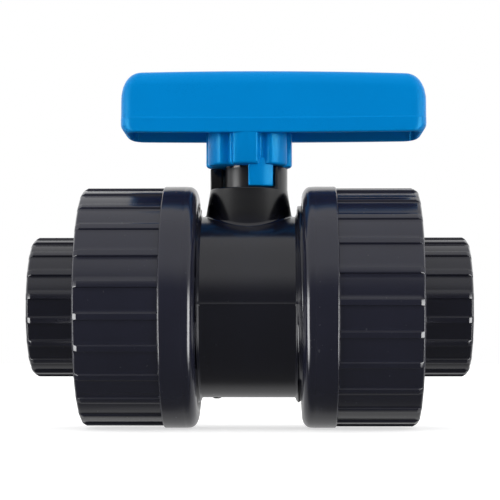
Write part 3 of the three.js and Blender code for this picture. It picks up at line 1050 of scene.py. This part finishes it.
class Shader:
    """A small helper that adds and links the nodes of one material or world."""

    def __init__(self, tree):
        self.tree = tree
        tree.nodes.clear()

    def add(self, kind, **settings):
        node = self.tree.nodes.new(kind)
        for name, value in settings.items():
            setattr(node, name, value)
        return node

    def put(self, socket, value):
        """Links the socket to another, or sets its value."""
        if isinstance(value, bpy.types.NodeSocket):
            self.tree.links.new(value, socket)
        else:
            socket.default_value = value

    def feed(self, node, **values):
        """Sets or links inputs, whose names have _ for a space."""
        for name, value in values.items():
            self.put(node.inputs[name.replace("_", " ")], value)

    def math(self, operation, *values):
        node = self.add("ShaderNodeMath", operation=operation)
        for socket, value in zip(node.inputs, values):
            self.put(socket, value)
        return node.outputs[0]

    def plus(self, first, second):
        return self.math("ADD", first, second)

    def times(self, first, second):
        return self.math("MULTIPLY", first, second)

    def split(self, vector):
        """The vector's three components."""
        node = self.add("ShaderNodeSeparateXYZ")
        self.put(node.inputs[0], vector)
        return node.outputs

    def noise(self, vector, scale, detail):
        node = self.add("ShaderNodeTexNoise")
        self.feed(node, Vector=vector, Scale=scale, Detail=detail)
        return node.outputs["Fac"]

    def ramp(self, fac, low, high):
        """0 below low and 1 above high, eased between."""
        node = self.add("ShaderNodeMapRange", interpolation_type="SMOOTHSTEP")
        self.put(node.inputs["Value"], fac)
        node.inputs["From Min"].default_value = low
        node.inputs["From Max"].default_value = high
        return node.outputs["Result"]

    def fade(self, fac, low, high):
        """1 below low and 0 above high, eased between."""
        return self.ramp(self.times(fac, -1), -high, -low)

    def between(self, fac, low, high):
        """Linear from low at 0 to high at 1."""
        node = self.add("ShaderNodeMapRange")
        self.put(node.inputs["Value"], fac)
        node.inputs["To Min"].default_value = low
        node.inputs["To Max"].default_value = high
        return node.outputs["Result"]

    def mix(self, fac, first, second):
        node = self.add("ShaderNodeMix", data_type="RGBA")
        self.put(node.inputs["Factor"], fac)
        self.put(node.inputs["A"], first)
        self.put(node.inputs["B"], second)
        return node.outputs["Result"]

    def stretched(self, vector, x, y, z):
        node = self.add("ShaderNodeMapping")
        self.put(node.inputs["Vector"], vector)
        node.inputs["Scale"].default_value = (x, y, z)
        return node.outputs["Vector"]

    def edges(self, low, high):
        """1 on the edges that stand out, which are the ones that rub."""
        return self.ramp(self.add("ShaderNodeNewGeometry").outputs["Pointiness"], low, high)

    def bumped(self, layers):
        """Layers of (height, depth in millimetres) as one normal."""
        normal = None
        for height, depth in layers:
            node = self.add("ShaderNodeBump")
            node.inputs["Distance"].default_value = depth * MM
            self.put(node.inputs["Height"], height)
            if normal is not None:
                self.put(node.inputs["Normal"], normal)
            normal = node.outputs["Normal"]
        return normal


def new_material(name):
    """A material with its shader helper, its object coordinates and its surface node."""
    material = bpy.data.materials.new(name)
    material.use_nodes = True
    shader = Shader(material.node_tree)
    where = shader.add("ShaderNodeTexCoord").outputs["Object"]
    surface = shader.add("ShaderNodeBsdfPrincipled")
    output = shader.add("ShaderNodeOutputMaterial")
    shader.put(output.inputs["Surface"], surface.outputs["BSDF"])
    return material, shader, where, surface


def moulded_pvc(name, dark, light, tool_marks=0.0, dull=0.0, painted_shade_from=None):
    """Dark PVC-U as it leaves the mould: glossy, with faint flow marks, specks and worn edges.

    tool_marks adds depth to the flow marks and dull adds roughness. Above a height of
    painted_shade_from, in millimetres, painted shade darkens the plastic.
    """
    material, shader, where, surface = new_material(name)
    cloud = shader.noise(where, 90, 3)
    flow = shader.noise(shader.stretched(where, 60, 420, 420), 1, 2)
    grain = shader.noise(where, 2600, 2)
    peel = shader.noise(where, 420, 2)
    specks = shader.ramp(shader.noise(where, 900, 1), 0.74, 0.8)
    edge = shader.edges(0.52, 0.6)
    base = shader.mix(cloud, rgb(*dark), rgb(*light))
    # Painted shade: above the given height the colour is darkened.
    if painted_shade_from is not None:
        height = shader.split(where)[2]
        painted_shade_mask = shader.ramp(height, painted_shade_from * MM, (painted_shade_from + 4) * MM)
        base = shader.mix(shader.times(painted_shade_mask, 0.85), base, PVC_PAINTED_SHADE)
    base = shader.mix(shader.times(specks, 0.35), base, PVC_SPECK)
    base = shader.mix(shader.times(edge, 0.45), base, PVC_RUBBED)
    gloss = shader.plus(
        shader.between(flow, 0.13 + dull, 0.2 + dull), shader.between(grain, -0.02, 0.05),
    )
    gloss = shader.plus(gloss, shader.times(specks, 0.12))
    normal = shader.bumped([(peel, 0.006), (grain, 0.0025), (flow, 0.012 + tool_marks)])
    shader.feed(surface, Base_Color=base, Roughness=gloss, Normal=normal, IOR=PLASTIC_IOR)
    return material


def blue_plastic():
    """The handle's saturated blue moulding, satin gloss with a soft ripple."""
    material, shader, where, surface = new_material("blue_moulding")
    cloud = shader.noise(where, 55, 2)
    flow = shader.noise(shader.stretched(where, 40, 300, 160), 1, 2)
    grain = shader.noise(where, 2200, 2)
    peel = shader.noise(where, 300, 2)
    base = shader.mix(cloud, BLUE_DARK, BLUE_LIGHT)
    base = shader.mix(shader.times(shader.edges(0.53, 0.62), 0.25), base, BLUE_RUBBED)
    gloss = shader.plus(shader.between(flow, 0.24, 0.31), shader.between(grain, -0.02, 0.05))
    # The underside and the rim's lower edge keep the mould's matt finish.
    upward = shader.split(shader.add("ShaderNodeTexCoord").outputs["Normal"])[2]
    under = shader.ramp(shader.times(upward, -1), 0.55, 0.85)
    gloss = shader.plus(gloss, shader.times(under, 0.4))
    normal = shader.bumped([(peel, 0.008), (grain, 0.003), (flow, 0.015)])
    shader.feed(surface, Base_Color=base, Roughness=gloss, Normal=normal, IOR=PLASTIC_IOR)
    shader.feed(surface, Specular_IOR_Level=0.3, Specular_Tint=BLUE_SHEEN)
    return material


def seat_ptfe():
    """Turned PTFE: waxy white with fine lathe rings."""
    material, shader, where, surface = new_material("ptfe_turned")
    cloud = shader.noise(where, 200, 3)
    rings = shader.noise(shader.stretched(where, 3000, 8, 8), 1, 1)
    base = shader.mix(cloud, PTFE_DARK, PTFE_LIGHT)
    normal = shader.bumped([(rings, 0.01), (shader.noise(where, 1500, 2), 0.004)])
    gloss = shader.between(cloud, 0.4, 0.55)
    shader.feed(surface, Base_Color=base, Roughness=gloss, Normal=normal)
    shader.feed(surface, Subsurface_Weight=0.1, Subsurface_Scale=0.002)
    return material


def seal_rubber():
    """Black EPDM with a fine matt grain and a few dust specks."""
    material, shader, where, surface = new_material("epdm_rubber")
    grain = shader.noise(where, 3000, 3)
    dust = shader.ramp(shader.noise(where, 1200, 2), 0.66, 0.78)
    base = shader.mix(grain, RUBBER_DARK, RUBBER_LIGHT)
    base = shader.mix(shader.times(dust, 0.4), base, RUBBER_DUST)
    gloss = shader.between(grain, 0.5, 0.68)
    shader.feed(surface, Base_Color=base, Roughness=gloss, Normal=shader.bumped([(grain, 0.012)]))
    return material


# The body has painted shade over its neck and the top of its barrel.
BODY_PVC = moulded_pvc(
    "pvc_body_moulding", (0.0064, 0.0068, 0.0125), (0.0092, 0.0097, 0.018), painted_shade_from=24.5,
)
NUT_PVC = moulded_pvc(
    "pvc_nut_moulding", (0.0115, 0.0123, 0.0235), (0.016, 0.017, 0.033), tool_marks=0.01,
)
END_PVC = moulded_pvc("pvc_end_moulding", (0.0062, 0.0066, 0.0145), (0.009, 0.0096, 0.0205))
STEM_PVC = moulded_pvc(
    "pvc_stem_turned", (0.005, 0.005, 0.0065), (0.0075, 0.0075, 0.0095), dull=0.16,
)
BLUE = blue_plastic()
PTFE = seat_ptfe()
RUBBER = seal_rubber()


# ---- the valve ----


def add_piece(obj, body, node, material):
    """Dresses a piece and lets it stand for its CAD node."""
    obj.data.materials.clear()
    obj.data.materials.append(material)
    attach(obj, body)
    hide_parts(node)


def add_pvc(obj, body, node, material):
    add_piece(obj, body, node, material)


def add_seal(obj, body, node):
    add_piece(obj, body, node, RUBBER)


add_pvc(make_body(), "body", "valve_body", BODY_PVC)
add_pvc(make_ball(), "ball", "ball", END_PVC)
add_pvc(make_stem(), "stem", "stem", STEM_PVC)
add_pvc(make_carrier(), "body", "seat_carrier", END_PVC)
add_piece(make_handle(), "handle", "handle", BLUE)
for level, size in STEM_SEALS.items():
    seal = make_o_ring(f"stem_o_ring_{level}_seal", size, axis="z")
    add_seal(seal, "stem", f"stem_o_ring_{level}")
add_seal(make_o_ring("carrier_o_ring_seal", CARRIER_SEAL), "body", "carrier_o_ring")
for side in ("left", "right"):
    add_piece(make_seat(side), "body", f"ball_seat_{side}", PTFE)
    seal = placed_at_end(make_o_ring(f"seat_o_ring_{side}_seal", SEAT_SEAL), side)
    add_seal(seal, "body", f"seat_o_ring_{side}")
    add_pvc(make_connector(side), f"connector_{side}", f"end_connector_{side}", END_PVC)
    seal = make_o_ring(f"face_o_ring_{side}_seal", FACE_SEAL)
    placed_at_end(seal, side, travel_at_end(side))
    add_seal(seal, f"connector_{side}", f"face_o_ring_{side}")
    add_pvc(make_nut(side), f"nut_{side}", f"union_nut_{side}", NUT_PVC)


# ---- floor, light and camera ----


def make_floor():
    """A wide pale floor just under the nuts."""
    bm = bmesh.new()
    bmesh.ops.create_grid(bm, x_segments=8, y_segments=8, size=FLOOR_SIZE)
    bmesh.ops.translate(bm, vec=(0, 0, -NUT_RADIUS - FLOOR_GAP), verts=bm.verts)
    floor_plane = new_object("floor", bm)
    material, shader, where, surface = new_material("pale_floor")
    base = shader.mix(shader.noise(where, 40, 3), grey(0.7), grey(0.75))
    # Less of the floor's light reaches the valve than a pale floor would send up.
    bounced = shader.add("ShaderNodeLightPath").outputs["Is Diffuse Ray"]
    base = shader.mix(bounced, base, grey(0.3))
    shader.feed(surface, Base_Color=base, Roughness=0.9, Emission_Color=grey(1))
    shader.feed(surface, Emission_Strength=shader.between(bounced, 0.6, 0.05))
    floor_plane.data.materials.append(material)
    floor_plane.visible_glossy = False


def light_studio():
    """A white tent that is open toward the camera, with a narrow lamp at each side of it."""
    world = bpy.data.worlds.new("studio")
    bpy.context.scene.world = world
    world.use_nodes = True
    shader = Shader(world.node_tree)
    x, y, z = shader.split(shader.add("ShaderNodeTexCoord").outputs["Generated"])
    front = shader.times(y, -1)

    def angle_from_front(part):
        return shader.math("DEGREES", shader.math("ARCTAN2", part, front))

    # Up from the front, past straight up at 90 degrees to the back at 180.
    over = angle_from_front(z)
    below = shader.times(over, -1)
    tent = shader.math(
        "MAXIMUM", shader.ramp(over, *TENT_EDGE),
        shader.times(shader.ramp(below, *LOW_GLOW_EDGE), LOW_GLOW),
    )
    aside = angle_from_front(shader.math("ABSOLUTE", x))
    rise = shader.math("DEGREES", shader.math("ARCSINE", z))
    lamp = shader.times(shader.ramp(aside, *LAMP_INNER_EDGE), shader.fade(aside, *LAMP_OUTER_EDGE))
    lamp = shader.times(lamp, shader.ramp(rise, *LAMP_LOWER_EDGE))
    lamp = shader.times(lamp, shader.fade(rise, *LAMP_UPPER_EDGE))
    glow = shader.plus(
        shader.between(tent, FRONT_LEVEL, 1.0), shader.times(lamp, LAMP_STRENGTH),
    )
    # What the camera sees directly is plain white.
    strength = shader.add("ShaderNodeMix", data_type="FLOAT")
    shader.put(strength.inputs[0], shader.add("ShaderNodeLightPath").outputs["Is Camera Ray"])
    shader.put(strength.inputs[2], glow)
    shader.put(strength.inputs[3], 1.0)
    background = shader.add("ShaderNodeBackground")
    shader.feed(background, Color=grey(1), Strength=strength.outputs[0])
    output = shader.add("ShaderNodeOutputWorld")
    shader.put(output.inputs["Surface"], background.outputs[0])


def add_camera():
    """A long lens, a touch to the right of the valve and level with its lower half."""
    yaw, drop = radians(CAMERA_YAW), radians(CAMERA_DROP)
    middle = (cad_low + cad_high) / 2 / MM
    place = CAMERA_DISTANCE * Vector((sin(yaw), -cos(yaw), -tan(drop)))
    target = Vector((middle.x + CAMERA_AIM_X, 0, middle.z + CAMERA_AIM_Z))
    data = bpy.data.cameras.new("camera")
    data.lens = CAMERA_LENS
    data.clip_start = 0.01
    data.clip_end = 50
    camera = bpy.data.objects.new("camera", data)
    camera.location = place * MM
    camera.rotation_mode = "QUATERNION"
    camera.rotation_quaternion = (target - place).to_track_quat("-Z", "Y")
    bpy.context.scene.collection.objects.link(camera)
    bpy.context.scene.camera = camera


make_floor()
light_studio()
add_camera()
bpy.context.scene.view_settings.view_transform = "Standard"
